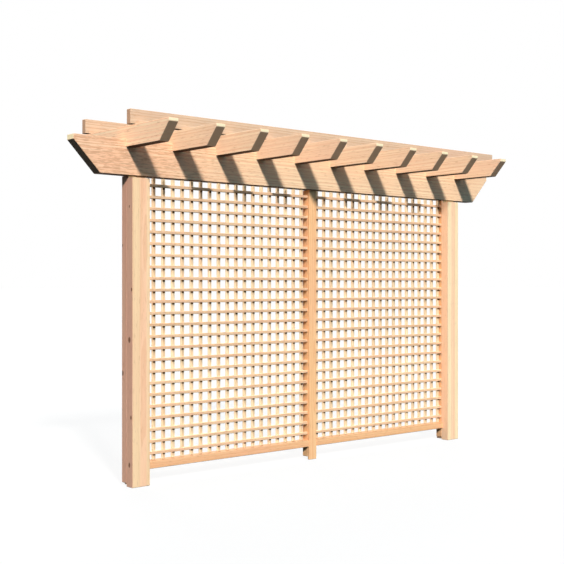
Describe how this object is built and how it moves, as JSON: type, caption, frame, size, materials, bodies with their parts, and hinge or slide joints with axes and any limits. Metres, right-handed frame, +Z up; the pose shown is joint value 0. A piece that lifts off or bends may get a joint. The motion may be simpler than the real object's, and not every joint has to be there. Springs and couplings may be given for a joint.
{
  "type": "pergola wall",
  "caption": "Free-standing cedar pergola wall: lattice bays between built-up posts, under a raked beam with lapped rafters and two purlins across them.",
  "frame": {"origin": "on the ground, under the middle of the header beam", "axes": "+X along the wall to the right of a viewer, +Y away from the viewer, +Z up"},
  "size_m": [4.172, 1.078, 2.494],
  "materials": {
    "cedar_upright": "planed, untreated",
    "cedar_rail": "planed, untreated",
    "cedar_slat": "planed, untreated",
    "cedar_beam": "planed, untreated",
    "cedar_rafter": "planed, untreated",
    "cedar_purlin": "planed, untreated",
    "zinc_screw": "zinc plated",
    "beech_dowel": "turned"
  },
  "bodies": {
    "root": {"front_post_left": "cedar_upright", "front_post_right": "cedar_upright", "rear_stile_left": "cedar_upright", "rear_stile_right": "cedar_upright", "mullion_batten": "cedar_upright", "mullion_rear": "cedar_upright", "foot_block_left": "cedar_upright", "foot_block_right": "cedar_upright", "bottom_rail_left": "cedar_rail", "bottom_rail_right": "cedar_rail", "vertical_slats_left": "cedar_slat", "vertical_slats_right": "cedar_slat", "horizontal_slats_left": "cedar_slat", "horizontal_slats_right": "cedar_slat", "header_beam": "cedar_beam", "rafter_1": "cedar_rafter", "rafter_2": "cedar_rafter", "rafter_3": "cedar_rafter", "rafter_4": "cedar_rafter", "rafter_5": "cedar_rafter", "rafter_6": "cedar_rafter", "rafter_7": "cedar_rafter", "rafter_8": "cedar_rafter", "rafter_9": "cedar_rafter", "rafter_10": "cedar_rafter", "purlin_front": "cedar_purlin", "purlin_rear": "cedar_purlin", "rafter_screws": "zinc_screw", "purlin_screws": "zinc_screw", "stile_screws": "zinc_screw", "batten_screws": "zinc_screw", "beam_dowels": "beech_dowel", "rail_dowels": "beech_dowel"}
  },
  "joints": []
}
